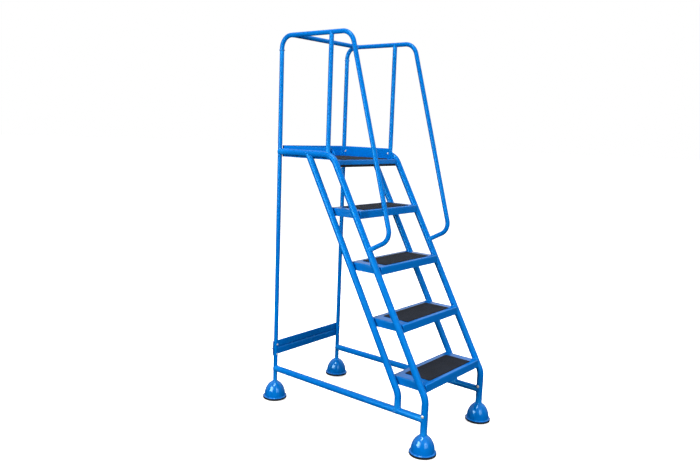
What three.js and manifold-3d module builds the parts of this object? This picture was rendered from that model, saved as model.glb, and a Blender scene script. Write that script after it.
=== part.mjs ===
// Rolling warehouse ladder: a welded tube frame with four treads and a guarded platform,
// standing on four domed feet that each hide a sprung swivel castor.
//
// Millimetres. +Z is up, +X is the climber's right, the steps face -Y. The origin is on the
// floor, under the middle of the ladder.

import * as THREE from 'three';
import { mergeVertices } from 'three/addons/utils/BufferGeometryUtils.js';
import Module from 'manifold-3d';

const wasm = await Module();
wasm.setup();

// ---- driving dimensions -------------------------------------------------------------------

const GAP = 0.3; // clearance kept between pieces that touch
const CASTOR_LIFT = 5; // how far the unladen castors hold the rubber rims off the floor

// side frames
const SIDE_X = 249; // side frame centreline
const LEG_Y = 461; // front and rear leg centrelines
const UPRIGHT_Y = 145; // mid upright centreline
const BASE_Z = 162;
const RAIL_Z = 1285; // platform side rail
const TOP_Z = 1842; // handrail
const SEAM_Z = 1774; // where the handrail plugs onto the rear leg
const CROSS_RAIL_Y = 388;
const KNEE_Z = 254; // corner between a front leg and its sloping stringer
const REAR_KNEE_Z = 240; // the same corner of the rear stringer
const STRINGER_RUN = 0.5601; // forward travel of the stringers per unit of height
const STRINGER_SPACING = 152; // rear stringer behind the front one
const GRIP_CORNER = [-236, 929]; // lower corner of the sloping handrail, [y, z]
const GRIP_END = [-118, 866]; // where its return meets the front stringer, [y, z]
const GRIP_RUN = 0.2878; // forward travel of the sloping handrail per unit of height

// tubes
const STOUT_R = 15.9;
const SLIM_R = 11.1;
const TUBE_WALL = 1.5;
const STRINGER_BENDS = [80, 80];
const HANDRAIL_BENDS = [60, 70, 60]; // rear top, front top and lower corner
const TUBE_SIDES = 12;
const BEND_STEP = Math.PI / 10;

// treads, platform and panels
const TREAD_COUNT = 4;
const FIRST_TREAD_Z = 314;
const TREAD_RISE = 241;
const TREAD_FRONT_Y = -453;
const TREAD_DEPTH = 184;
const TREAD_SKIRT = 37;
const SHEET = 2;
const MAT_WIDTH = 358;
const MAT_DEPTH = 135;
const MAT_INSET = 17;
const MAT_THICKNESS = 3;
const MAT_CORNER = 3;
const DECK_Z = 1262; // top of the platform
const DECK_FRONT_Y = 92;
const DECK_LIP = 22;
const DECK_MAT_DEPTH = 300;
const BEARER = [25, 32]; // platform front bearer, [deep, high]
const TOE_TOP_Z = 1316;
const TOE_FRONT_Y = 112;
const TOE_REAR_Y = 467;
const TOE_NOSE_R = 44;
const TOE_CORNER_R = 14;
const BRACE_Z = 266; // middle of the rear brace
const BRACE_HEIGHT = 75;
const BRACE_HALF_WIDTH = 258;
const BRACE_RIB = 6;
const BRACE_RIB_INNER = BRACE_RIB + 1.5 * SHEET; // crest of the rib on the sheet's far side

// fasteners
// each bolt's shank, domed head and nut, and the thread that stands out of the nut
const LEG_BOLT = { shankR: 4, headR: 7, head: 4.5, nutR: 6.5, nut: 4.5, tail: 2 };
const BRACE_BOLT = { shankR: 3, headR: 5.25, head: 3.3, nutR: 5, nut: 3.4, tail: 1.6 };
const BOLT_HEAD_SHOULDER = 0.75; // how far out and up the domed head's shoulder is, as a share
const BRACE_BOLT_OFFSET = 26;
const LEG_BOLT_Z = 180;
const BOLT_SIDES = 8;

// feet, heights above the floor
const RUBBER_HEIGHT = 8;
const RUBBER_INNER_R = 51;
const RUBBER_OUTER_R = 61.6;
const RUBBER_LIP = 2.2; // how far the rubber's outer lip laps up round the dome's rim
const RUBBER_CHAMFER = 1.6;
const DOME_TOP_Z = 86 + CASTOR_LIFT;
const DOME_BASE_Z = RUBBER_HEIGHT + GAP + CASTOR_LIFT;
const DOME_RIM_R = 60;
const DOME_RIM = 3.5; // height of the rolled rim
const DOME_RIM_CHAMFER = 1.5;
const DOME_FLAT_R = 17.4; // flat top that the leg stands on
const DOME_WALL_R = 53.8;
const DOME_WALL = 1.8;
const DOME_CROWN = 3.2; // how far the dome's curve would rise past its flat top
const DOME_BOSS_R = 9.5;
const DOME_BOSS_DROP = 7;
const DOME_STEPS = 6; // facets from the wall up to the flat top
const FOOT_SIDES = 20;

// castors
const WHEEL_R = 19;
const WHEEL_SIDES = 18;
const WHEEL_HALF_WIDTH = 8.5;
const AXLE_Z = WHEEL_R * Math.cos(Math.PI / WHEEL_SIDES); // stands on a flat of the wheel
const TYRE_CHAMFER = [1.5, 2.5]; // [in from the tread, in from the side]
const AXLE_R = 3;
const AXLE_HEAD_R = 5;
const AXLE_HEAD = 1.5;
const CASTOR_TRAIL = 13;
const FORK_PLATE = 3;
const FORK_PLATE_Z = 41.3; // underside of the fork's plate
const FORK_CHEEK_X = 10;
const FORK_CHEEK = 2.5;
const FORK_CHEEK_R = 8;
const FORK_OVERLAP = 1; // how far the cheeks run up into the plate
const FORK_PLATE_R = 14;
const STEM_R = 5;
const STEM_STUB_R = 4;
const STEM_FLANGE_R = 12;
const STEM_COLLAR_R = 8;
const STEM_COLLAR = 4;
const RIVET_R = 6;
const RIVET_HEAD = 2.4;
const STEM_SIDES = 10;
const SPRING_R = 9;
const SPRING_WIRE_R = 1.3;
const SPRING_TURNS = 4.5;
const SPRING_STEPS_PER_TURN = 8;

// ---- materials ----------------------------------------------------------------------------

function finish(color, roughness, metalness) {
  return () => new THREE.MeshStandardMaterial({ color, roughness, metalness });
}

const bluePaint = finish(0x0069cc, 0.32, 0.1);
const blackPaint = finish(0x101216, 0.55, 0.1);
const slateRubber = finish(0x323b49, 0.9, 0);
const blackRubber = finish(0x17181b, 0.75, 0);
const zinc = finish(0xd4d2cc, 0.35, 0.9);
const springSteel = finish(0x6d7075, 0.4, 0.9);
const wheelNylon = finish(0x2a2b2e, 0.55, 0);

// ---- closed meshes and booleans -----------------------------------------------------------

// Merges coincident vertices, drops collapsed triangles and turns the faces outwards.
function closed(geometry) {
  const bare = geometry.index ? geometry.toNonIndexed() : geometry;
  bare.deleteAttribute('normal');
  bare.deleteAttribute('uv');
  const merged = mergeVertices(bare, 1e-3);
  const { array } = merged.index;
  const kept = [];
  for (let i = 0; i < array.length; i += 3) {
    const [a, b, c] = [array[i], array[i + 1], array[i + 2]];
    if (a !== b && b !== c && c !== a) kept.push(a, b, c);
  }
  if (signedVolume(merged.attributes.position, kept) < 0) kept.reverse();
  merged.setIndex(kept);
  merged.computeVertexNormals();
  return merged;
}

function signedVolume(position, index) {
  const corners = [new THREE.Vector3(), new THREE.Vector3(), new THREE.Vector3()];
  let volume = 0;
  for (let i = 0; i < index.length; i += 3) {
    corners.forEach((corner, k) => corner.fromBufferAttribute(position, index[i + k]));
    volume += corners[0].dot(corners[1].cross(corners[2]));
  }
  return volume;
}

function toManifold(geometry) {
  const source = closed(geometry);
  const vertProperties = Float32Array.from(source.attributes.position.array);
  const triVerts = Uint32Array.from(source.index.array);
  return new wasm.Manifold(new wasm.Mesh({ numProp: 3, vertProperties, triVerts }));
}

function toGeometry(manifold) {
  const { vertProperties, triVerts } = manifold.getMesh();
  const geometry = new THREE.BufferGeometry();
  geometry.setAttribute('position', new THREE.BufferAttribute(vertProperties, 3));
  geometry.setIndex(new THREE.BufferAttribute(triVerts, 1));
  geometry.computeVertexNormals();
  return geometry;
}

function cut(geometry, ...tools) {
  const rest = tools.reduce((body, tool) => body.subtract(toManifold(tool)), toManifold(geometry));
  return toGeometry(rest);
}

function trim(geometry, envelope) {
  return toGeometry(toManifold(geometry).intersect(toManifold(envelope)));
}

function join(geometry, ...others) {
  const whole = others.reduce((body, other) => body.add(toManifold(other)), toManifold(geometry));
  return toGeometry(whole);
}

// ---- shape builders -----------------------------------------------------------------------

// A path of straights joined by round bends. Stations lie only where the direction changes,
// so a tube swept along it has no needless rings.
class BentPath extends THREE.Curve {
  constructor(corners, bends) {
    super();
    this.stations = [];
    const last = corners.length - 1;
    const heading = (i) => corners[i + 1].clone().sub(corners[i]).normalize();
    this.stations.push({ point: corners[0], tangent: heading(0) });
    bends.forEach((radius, i) => this.addBend(corners[i + 1], heading(i), heading(i + 1), radius));
    this.stations.push({ point: corners[last], tangent: heading(last - 1) });
  }

  get steps() {
    return this.stations.length - 1;
  }

  addBend(corner, ahead, after, radius) {
    const angle = ahead.angleTo(after);
    const inward = after.clone().addScaledVector(ahead, -after.dot(ahead)).normalize();
    const start = corner.clone().addScaledVector(ahead, -radius * Math.tan(angle / 2));
    const count = Math.ceil(angle / BEND_STEP);
    for (let k = 0; k <= count; k += 1) {
      const turned = (angle * k) / count;
      const point = start.clone().addScaledVector(ahead, radius * Math.sin(turned));
      point.addScaledVector(inward, radius * (1 - Math.cos(turned)));
      const tangent = ahead.clone().multiplyScalar(Math.cos(turned));
      tangent.addScaledVector(inward, Math.sin(turned));
      this.stations.push({ point, tangent });
    }
  }

  station(u) {
    return this.stations[Math.round(u * this.steps)];
  }

  getPointAt(u, target = new THREE.Vector3()) {
    return target.copy(this.station(u).point);
  }

  getTangentAt(u, target = new THREE.Vector3()) {
    return target.copy(this.station(u).tangent);
  }
}

function circle(radius) {
  return new THREE.Shape().absarc(0, 0, radius, 0, 2 * Math.PI, false);
}

function sweep(shape, path, sides = TUBE_SIDES) {
  const options = { steps: path.steps, curveSegments: sides / 2, extrudePath: path };
  return new THREE.ExtrudeGeometry(shape, options);
}

function tube(path, radius) {
  const ring = circle(radius);
  ring.holes.push(new THREE.Path().absarc(0, 0, radius - TUBE_WALL, 0, 2 * Math.PI, true));
  return sweep(ring, path);
}

// The solid that a neighbour's end is coped to: the tube filled in and grown by the gap.
function coper(path, radius) {
  return sweep(circle(radius + GAP), path);
}

// A solid of revolution about +Z from [radius, height] pairs that start and end on the axis.
function turned(profile, sides) {
  const points = profile.map(([r, z]) => new THREE.Vector2(r, z));
  return new THREE.LatheGeometry(points, sides).rotateX(Math.PI / 2);
}

// As turned(), for a section that closes on itself away from the axis.
function turnedRing(profile, sides) {
  return turned([...profile, profile[0]], sides);
}

function outline(points) {
  return new THREE.Shape(points.map(([a, b]) => new THREE.Vector2(a, b)));
}

// Extrudes a [y, z] outline along X, centred on x = 0.
function alongX(shape, width) {
  const prism = new THREE.ExtrudeGeometry(shape, { depth: width, bevelEnabled: false, curveSegments: 4 });
  prism.translate(0, 0, -width / 2);
  return prism.applyMatrix4(new THREE.Matrix4().makeBasis(
    new THREE.Vector3(0, 1, 0),
    new THREE.Vector3(0, 0, 1),
    new THREE.Vector3(1, 0, 0),
  ));
}

// Extrudes an [x, y] outline upwards from z.
function upwards(shape, z, height, curveSegments = 4) {
  const prism = new THREE.ExtrudeGeometry(shape, { depth: height, bevelEnabled: false, curveSegments });
  return prism.translate(0, 0, z);
}

function block(low, high) {
  const size = high.map((value, i) => value - low[i]);
  const box = new THREE.BoxGeometry(...size);
  return box.translate(...low.map((value, i) => value + size[i] / 2));
}

function roundedRectangle(halfWidth, frontY, rearY, radius) {
  const shape = new THREE.Shape();
  shape.moveTo(-halfWidth + radius, frontY);
  shape.lineTo(halfWidth - radius, frontY);
  shape.absarc(halfWidth - radius, frontY + radius, radius, -Math.PI / 2, 0, false);
  shape.lineTo(halfWidth, rearY - radius);
  shape.absarc(halfWidth - radius, rearY - radius, radius, 0, Math.PI / 2, false);
  shape.lineTo(-halfWidth + radius, rearY);
  shape.absarc(-halfWidth + radius, rearY - radius, radius, Math.PI / 2, Math.PI, false);
  shape.lineTo(-halfWidth, frontY + radius);
  shape.absarc(-halfWidth + radius, frontY + radius, radius, Math.PI, 1.5 * Math.PI, false);
  return shape;
}

function rod(radius, length, sides = BOLT_SIDES) {
  return turned([[0, -length / 2], [radius, -length / 2], [radius, length / 2], [0, length / 2]], sides);
}

// ---- assembly -----------------------------------------------------------------------------

const ladder = new THREE.Group();

function add(name, geometry, material, x = 0, y = 0, z = 0) {
  const mesh = new THREE.Mesh(closed(geometry), material());
  mesh.name = name;
  mesh.position.set(x, y, z);
  ladder.add(mesh);
  return mesh;
}

const at = (y, z) => new THREE.Vector3(0, y, z);
const stringerY = (z) => -LEG_Y + STRINGER_RUN * (z - KNEE_Z);
const sides = [['left', -1], ['right', 1]];

// ---- side frames --------------------------------------------------------------------------
// Every tube of a side frame lies in one plane, so the paths are drawn at x = 0.

const rearStringerFootY = stringerY(REAR_KNEE_Z) + STRINGER_SPACING;
const gripTopY = GRIP_CORNER[0] + GRIP_RUN * (TOP_Z - GRIP_CORNER[1]);

const paths = {
  frontStringer: new BentPath(
    [
      at(-LEG_Y, DOME_TOP_Z + GAP),
      at(-LEG_Y, KNEE_Z),
      at(stringerY(RAIL_Z), RAIL_Z),
      at(LEG_Y, RAIL_Z),
    ],
    STRINGER_BENDS,
  ),
  rearStringer: new BentPath(
    [
      at(rearStringerFootY, BASE_Z),
      at(rearStringerFootY, REAR_KNEE_Z),
      at(stringerY(RAIL_Z) + STRINGER_SPACING, RAIL_Z),
    ],
    STRINGER_BENDS.slice(0, 1),
  ),
  baseRail: new BentPath([at(-LEG_Y, BASE_Z), at(LEG_Y, BASE_Z)], []),
  rearLeg: new BentPath([at(LEG_Y, DOME_TOP_Z + GAP), at(LEG_Y, SEAM_Z)], []),
  midUpright: new BentPath([at(UPRIGHT_Y, RAIL_Z), at(UPRIGHT_Y, TOP_Z)], []),
  handrail: new BentPath(
    [
      at(LEG_Y, SEAM_Z + GAP),
      at(LEG_Y, TOP_Z),
      at(gripTopY, TOP_Z),
      at(...GRIP_CORNER),
      at(...GRIP_END),
    ],
    HANDRAIL_BENDS,
  ),
};

const frontStringerCoper = coper(paths.frontStringer, STOUT_R);
const rearLegCoper = coper(paths.rearLeg, SLIM_R);
const baseRailCoper = coper(paths.baseRail, STOUT_R);
const handrailCoper = coper(paths.handrail, SLIM_R);

const legBoltHole = rod(LEG_BOLT.shankR + GAP, 4 * STOUT_R)
  .rotateY(Math.PI / 2)
  .translate(0, -LEG_Y, LEG_BOLT_Z);
const braceBoltLevels = [BRACE_Z - BRACE_BOLT_OFFSET, BRACE_Z + BRACE_BOLT_OFFSET];
const braceBoltHoles = braceBoltLevels.map((z) => (
  rod(BRACE_BOLT.shankR + GAP, 4 * STOUT_R).rotateX(Math.PI / 2).translate(0, LEG_Y, z)
));

const frameTubes = {
  front_stringer: cut(tube(paths.frontStringer, STOUT_R), rearLegCoper, legBoltHole),
  rear_stringer: cut(tube(paths.rearStringer, STOUT_R), baseRailCoper, frontStringerCoper),
  base_rail: cut(tube(paths.baseRail, STOUT_R), frontStringerCoper, rearLegCoper),
  rear_leg: cut(tube(paths.rearLeg, SLIM_R), ...braceBoltHoles),
  mid_upright: cut(tube(paths.midUpright, SLIM_R), frontStringerCoper, handrailCoper),
  handrail: cut(tube(paths.handrail, SLIM_R), frontStringerCoper),
};

for (const [side, sign] of sides) {
  for (const [name, geometry] of Object.entries(frameTubes)) {
    add(`${name}_${side}`, geometry.clone(), bluePaint, sign * SIDE_X);
  }
}

const crossRailPath = new BentPath(
  [new THREE.Vector3(-SIDE_X, CROSS_RAIL_Y, TOP_Z), new THREE.Vector3(SIDE_X, CROSS_RAIL_Y, TOP_Z)],
  [],
);
const handrailCopers = sides.map(([, sign]) => handrailCoper.clone().translate(sign * SIDE_X, 0, 0));
add('handrail_cross_rail', cut(tube(crossRailPath, SLIM_R), ...handrailCopers), bluePaint);

// ---- treads -------------------------------------------------------------------------------
// Each tread is an inverted sheet tray between the stringers, with a mat stuck on its top.

const innerHalfWidth = SIDE_X - STOUT_R - GAP;

function tread() {
  const tray = block([-innerHalfWidth, 0, -TREAD_SKIRT], [innerHalfWidth, TREAD_DEPTH, 0]);
  const hollow = block(
    [-innerHalfWidth + SHEET, SHEET, -TREAD_SKIRT - SHEET],
    [innerHalfWidth - SHEET, TREAD_DEPTH - SHEET, -SHEET],
  );
  return cut(tray, hollow);
}

function mat(depth) {
  return upwards(roundedRectangle(MAT_WIDTH / 2, 0, depth, MAT_CORNER), GAP, MAT_THICKNESS, 2);
}

for (let i = 0; i < TREAD_COUNT; i += 1) {
  const frontY = TREAD_FRONT_Y + STRINGER_RUN * TREAD_RISE * i;
  const z = FIRST_TREAD_Z + TREAD_RISE * i;
  add(`tread_${i + 1}`, tread(), bluePaint, 0, frontY, z);
  add(`tread_mat_${i + 1}`, mat(MAT_DEPTH), slateRubber, 0, frontY + MAT_INSET, z);
}

// ---- platform -----------------------------------------------------------------------------

const toeOuterX = innerHalfWidth;
const deckHalfWidth = toeOuterX - SHEET - GAP;
const deckRearY = TOE_REAR_Y - SHEET - GAP;

const deckSection = outline([
  [DECK_FRONT_Y, DECK_Z],
  [DECK_FRONT_Y, DECK_Z - DECK_LIP],
  [DECK_FRONT_Y + SHEET, DECK_Z - DECK_LIP],
  [DECK_FRONT_Y + SHEET, DECK_Z - SHEET],
  [deckRearY, DECK_Z - SHEET],
  [deckRearY, DECK_Z],
]);
const deckPlan = roundedRectangle(deckHalfWidth, -deckRearY, deckRearY, TOE_CORNER_R - SHEET - GAP);
const deckEnvelope = upwards(deckPlan, DECK_Z - 2 * DECK_LIP, 3 * DECK_LIP);
add('platform_deck', trim(alongX(deckSection, 3 * deckHalfWidth), deckEnvelope), bluePaint);
add('platform_mat', mat(DECK_MAT_DEPTH), slateRubber, 0, DECK_FRONT_Y + MAT_INSET, DECK_Z);

// A square-section bar under the front of the deck, between the stringers.
function bearer() {
  const [deep, high] = BEARER;
  const frontY = DECK_FRONT_Y + SHEET + GAP;
  const topZ = DECK_Z - SHEET - GAP;
  const section = outline([
    [frontY, topZ],
    [frontY, topZ - high],
    [frontY + deep, topZ - high],
    [frontY + deep, topZ],
  ]);
  section.holes.push(new THREE.Path([
    new THREE.Vector2(frontY + SHEET, topZ - SHEET),
    new THREE.Vector2(frontY + deep - SHEET, topZ - SHEET),
    new THREE.Vector2(frontY + deep - SHEET, topZ - high + SHEET),
    new THREE.Vector2(frontY + SHEET, topZ - high + SHEET),
  ]));
  return alongX(section, 2 * innerHalfWidth);
}
add('platform_bearer', bearer(), blackPaint);

// The toe board is one strip bent round three sides of the deck, with its front corners
// rounded down to the stringers.
function toeBoard() {
  const bottomZ = DECK_Z - SHEET;
  const height = TOE_TOP_Z - bottomZ;
  const strip = roundedRectangle(toeOuterX, -TOE_REAR_Y, TOE_REAR_Y, TOE_CORNER_R);
  const innerX = toeOuterX - SHEET;
  const innerY = TOE_REAR_Y - SHEET;
  strip.holes.push(roundedRectangle(innerX, -innerY, innerY, TOE_CORNER_R - SHEET));
  const nose = new THREE.Shape();
  nose.moveTo(-TOE_REAR_Y - SHEET, bottomZ - SHEET);
  nose.lineTo(TOE_FRONT_Y, bottomZ - SHEET);
  nose.lineTo(TOE_FRONT_Y, TOE_TOP_Z - TOE_NOSE_R);
  nose.absarc(TOE_FRONT_Y + TOE_NOSE_R, TOE_TOP_Z - TOE_NOSE_R, TOE_NOSE_R, Math.PI, Math.PI / 2, true);
  nose.lineTo(TOE_FRONT_Y + TOE_NOSE_R, TOE_TOP_Z + SHEET);
  nose.lineTo(-TOE_REAR_Y - SHEET, TOE_TOP_Z + SHEET);
  return cut(upwards(strip, bottomZ, height), alongX(nose, 3 * SIDE_X));
}
add('toe_board', toeBoard(), bluePaint);

// ---- rear brace ---------------------------------------------------------------------------
// A strip of sheet with lips along both edges and a pressed rib along its middle.

const braceFrontY = LEG_Y + SLIM_R + GAP;

function braceSection() {
  const half = BRACE_HEIGHT / 2;
  const face = [
    [BRACE_RIB, -half],
    [0, -half],
    [0, -BRACE_RIB],
    [BRACE_RIB, 0],
    [0, BRACE_RIB],
    [0, half],
    [BRACE_RIB, half],
  ];
  const inset = [
    [BRACE_RIB, half - SHEET],
    [SHEET, half - SHEET],
    [SHEET, BRACE_RIB + SHEET / 2],
    [BRACE_RIB_INNER, 0],
    [SHEET, -BRACE_RIB - SHEET / 2],
    [SHEET, -half + SHEET],
    [BRACE_RIB, -half + SHEET],
  ];
  return outline([...face, ...inset].map(([y, z]) => [y + braceFrontY, z + BRACE_Z]));
}

const braceHoles = sides.flatMap(([, sign]) => (
  braceBoltHoles.map((hole) => hole.clone().translate(sign * SIDE_X, 0, 0))
));
add('rear_brace', cut(alongX(braceSection(), 2 * BRACE_HALF_WIDTH), ...braceHoles), bluePaint);

// ---- bolts --------------------------------------------------------------------------------

// A bolt with its nut: the domed head is at the top, and grip is the distance it clamps.
function bolt(size, grip) {
  const { shankR, headR, head, nutR, nut, tail } = size;
  return turned(
    [
      [0, -nut - tail],
      [shankR, -nut - tail],
      [shankR, -nut],
      [nutR, -nut],
      [nutR, 0],
      [shankR, 0],
      [shankR, grip],
      [headR, grip],
      [headR * BOLT_HEAD_SHOULDER, grip + head * BOLT_HEAD_SHOULDER],
      [0, grip + head],
    ],
    BOLT_SIDES,
  );
}

for (const [side, sign] of sides) {
  const legBolt = bolt(LEG_BOLT, 2 * (STOUT_R + GAP)).translate(0, 0, -STOUT_R - GAP);
  add(`leg_bolt_${side}`, legBolt.rotateY((sign * Math.PI) / 2), zinc, sign * SIDE_X, -LEG_Y, LEG_BOLT_Z);
  braceBoltLevels.forEach((z, level) => {
    const grip = 2 * (SLIM_R + GAP) + SHEET + GAP;
    const braceBolt = bolt(BRACE_BOLT, grip).rotateX(Math.PI / 2).translate(0, SLIM_R + 2 * GAP + SHEET, 0);
    const name = `brace_bolt_${['lower', 'upper'][level]}_${side}`;
    add(name, braceBolt, zinc, sign * SIDE_X, LEG_Y, z);
  });
}

// ---- feet ---------------------------------------------------------------------------------

// Points of the dome's outer skin, pulled in by inset, from low on the wall to the flat top.
function domeCurve(inset) {
  const wallZ = DOME_BASE_Z + DOME_RIM + SHEET;
  const height = DOME_TOP_Z - wallZ + DOME_CROWN - inset;
  const radius = DOME_WALL_R - inset;
  const startAngle = Math.acos(DOME_FLAT_R / radius);
  const points = [];
  for (let k = 0; k <= DOME_STEPS; k += 1) {
    const angle = (startAngle * k) / DOME_STEPS;
    const r = radius * Math.cos(angle);
    const z = Math.min(wallZ + height * Math.sin(angle), DOME_TOP_Z - inset);
    if (r > DOME_FLAT_R + SHEET) points.push([r, z]);
  }
  return points;
}

function dome() {
  const boreR = STEM_R + GAP;
  return turnedRing(
    [
      [DOME_WALL_R - DOME_WALL, DOME_BASE_Z],
      [DOME_RIM_R - DOME_RIM_CHAMFER, DOME_BASE_Z],
      [DOME_RIM_R, DOME_BASE_Z + DOME_RIM_CHAMFER],
      [DOME_RIM_R, DOME_BASE_Z + DOME_RIM],
      ...domeCurve(0),
      [DOME_FLAT_R, DOME_TOP_Z],
      [boreR, DOME_TOP_Z],
      [boreR, DOME_TOP_Z - DOME_BOSS_DROP],
      [DOME_BOSS_R, DOME_TOP_Z - DOME_BOSS_DROP],
      [DOME_BOSS_R, DOME_TOP_Z - DOME_WALL],
      ...domeCurve(DOME_WALL).reverse(),
    ],
    FOOT_SIDES,
  );
}

function rubberRing() {
  const top = CASTOR_LIFT + RUBBER_HEIGHT;
  return turnedRing(
    [
      [RUBBER_INNER_R, CASTOR_LIFT],
      [RUBBER_OUTER_R - RUBBER_CHAMFER, CASTOR_LIFT],
      [RUBBER_OUTER_R, CASTOR_LIFT + RUBBER_CHAMFER],
      [RUBBER_OUTER_R, top + RUBBER_LIP],
      [DOME_RIM_R + GAP, top + RUBBER_LIP],
      [DOME_RIM_R + GAP, top],
      [RUBBER_INNER_R, top],
    ],
    FOOT_SIDES,
  );
}

// ---- castors ------------------------------------------------------------------------------

const forkTopZ = FORK_PLATE_Z + FORK_PLATE;
const flangeTopZ = forkTopZ + GAP + FORK_PLATE;

// The stem carries the fork on a riveted stub and slides up through the dome's boss. A
// collar above the boss stops it dropping out.
function stem() {
  const headZ = FORK_PLATE_Z - GAP;
  const collarZ = DOME_TOP_Z + GAP;
  return turned(
    [
      [0, headZ - RIVET_HEAD],
      [RIVET_R, headZ - RIVET_HEAD],
      [RIVET_R, headZ],
      [STEM_STUB_R, headZ],
      [STEM_STUB_R, forkTopZ + GAP],
      [STEM_FLANGE_R, forkTopZ + GAP],
      [STEM_FLANGE_R, flangeTopZ],
      [STEM_R, flangeTopZ],
      [STEM_R, collarZ],
      [STEM_COLLAR_R, collarZ],
      [STEM_COLLAR_R, collarZ + STEM_COLLAR],
      [0, collarZ + STEM_COLLAR],
    ],
    STEM_SIDES,
  );
}

class Helix extends THREE.Curve {
  constructor(radius, bottomZ, topZ, turns) {
    super();
    Object.assign(this, { radius, bottomZ, topZ, turns });
  }

  getPoint(t, target = new THREE.Vector3()) {
    const angle = 2 * Math.PI * this.turns * t;
    const z = this.bottomZ + (this.topZ - this.bottomZ) * t;
    return target.set(this.radius * Math.cos(angle), this.radius * Math.sin(angle), z);
  }
}

function spring() {
  const clearance = SPRING_WIRE_R + GAP;
  const boss = DOME_TOP_Z - DOME_BOSS_DROP;
  const helix = new Helix(SPRING_R, flangeTopZ + clearance, boss - clearance, SPRING_TURNS);
  helix.steps = SPRING_TURNS * SPRING_STEPS_PER_TURN;
  return sweep(circle(SPRING_WIRE_R), helix, 6);
}

// Two cheeks hang from a round plate and trail behind the swivel to hold the axle.
function fork() {
  const holeR = STEM_STUB_R + GAP;
  const plate = turnedRing(
    [
      [holeR, FORK_PLATE_Z],
      [FORK_PLATE_R, FORK_PLATE_Z],
      [FORK_PLATE_R, forkTopZ],
      [holeR, forkTopZ],
    ],
    2 * STEM_SIDES,
  );
  const cheekSection = new THREE.Shape();
  cheekSection.moveTo(-FORK_CHEEK_R, FORK_PLATE_Z + FORK_OVERLAP);
  cheekSection.lineTo(CASTOR_TRAIL - FORK_CHEEK_R, AXLE_Z);
  cheekSection.absarc(CASTOR_TRAIL, AXLE_Z, FORK_CHEEK_R, Math.PI, 2 * Math.PI, false);
  cheekSection.lineTo(FORK_CHEEK_R, FORK_PLATE_Z + FORK_OVERLAP);
  cheekSection.holes.push(new THREE.Path().absarc(CASTOR_TRAIL, AXLE_Z, AXLE_R + GAP, 0, 2 * Math.PI, true));
  const cheeks = sides.map(([, sign]) => (
    alongX(cheekSection, FORK_CHEEK).translate(sign * (FORK_CHEEK_X + FORK_CHEEK / 2), 0, 0)
  ));
  return join(plate, ...cheeks);
}

function wheel() {
  const shoulderR = WHEEL_R - TYRE_CHAMFER[0];
  const treadHalfWidth = WHEEL_HALF_WIDTH - TYRE_CHAMFER[1];
  const ring = turnedRing(
    [
      [AXLE_R + GAP, -WHEEL_HALF_WIDTH],
      [shoulderR, -WHEEL_HALF_WIDTH],
      [WHEEL_R, -treadHalfWidth],
      [WHEEL_R, treadHalfWidth],
      [shoulderR, WHEEL_HALF_WIDTH],
      [AXLE_R + GAP, WHEEL_HALF_WIDTH],
    ],
    WHEEL_SIDES,
  );
  return ring.rotateZ(Math.PI / WHEEL_SIDES).rotateY(Math.PI / 2);
}

function axle() {
  const shoulder = FORK_CHEEK_X + FORK_CHEEK + GAP;
  return turned(
    [
      [0, -shoulder - AXLE_HEAD],
      [AXLE_HEAD_R, -shoulder - AXLE_HEAD],
      [AXLE_HEAD_R, -shoulder],
      [AXLE_R, -shoulder],
      [AXLE_R, shoulder],
      [AXLE_HEAD_R, shoulder],
      [AXLE_HEAD_R, shoulder + AXLE_HEAD],
      [0, shoulder + AXLE_HEAD],
    ],
    BOLT_SIDES,
  ).rotateY(Math.PI / 2);
}

const ends = [['front', -1], ['rear', 1]];

for (const [end, endSign] of ends) {
  for (const [side, sideSign] of sides) {
    const corner = `${end}_${side}`;
    const [x, y] = [sideSign * SIDE_X, endSign * LEG_Y];
    add(`foot_dome_${corner}`, dome(), bluePaint, x, y);
    add(`foot_rubber_${corner}`, rubberRing(), blackRubber, x, y);
    add(`castor_stem_${corner}`, stem(), zinc, x, y);
    add(`castor_spring_${corner}`, spring(), springSteel, x, y);
    add(`castor_fork_${corner}`, fork(), zinc, x, y);
    add(`castor_wheel_${corner}`, wheel(), wheelNylon, x, y + CASTOR_TRAIL, AXLE_Z);
    add(`castor_axle_${corner}`, axle(), zinc, x, y + CASTOR_TRAIL, AXLE_Z);
  }
}

export default ladder;
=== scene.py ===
"""Looks of the rolling warehouse ladder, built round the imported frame.

Metres. +Z is up, +X is the climber's right, the steps face -Y and the floor is at z = 0.
"""

import math

import bmesh
import bpy
import numpy as np
from mathutils import Matrix, Vector


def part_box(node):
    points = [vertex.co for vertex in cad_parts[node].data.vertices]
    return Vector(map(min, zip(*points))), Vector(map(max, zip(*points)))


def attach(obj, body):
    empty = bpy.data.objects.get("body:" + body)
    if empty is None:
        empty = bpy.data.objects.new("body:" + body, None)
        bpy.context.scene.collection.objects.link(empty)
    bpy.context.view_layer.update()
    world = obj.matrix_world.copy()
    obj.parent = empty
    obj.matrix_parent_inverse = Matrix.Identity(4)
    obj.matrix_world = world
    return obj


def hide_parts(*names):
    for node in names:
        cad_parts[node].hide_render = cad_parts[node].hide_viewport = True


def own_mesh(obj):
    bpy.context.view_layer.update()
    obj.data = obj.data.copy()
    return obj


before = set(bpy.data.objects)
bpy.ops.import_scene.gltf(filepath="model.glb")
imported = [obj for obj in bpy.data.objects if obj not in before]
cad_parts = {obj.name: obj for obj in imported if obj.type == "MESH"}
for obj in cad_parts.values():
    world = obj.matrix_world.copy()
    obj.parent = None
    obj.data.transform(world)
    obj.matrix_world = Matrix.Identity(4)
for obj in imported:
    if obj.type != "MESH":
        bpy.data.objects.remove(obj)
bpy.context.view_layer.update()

# ---- driving dimensions ---------------------------------------------------------------------

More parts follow.
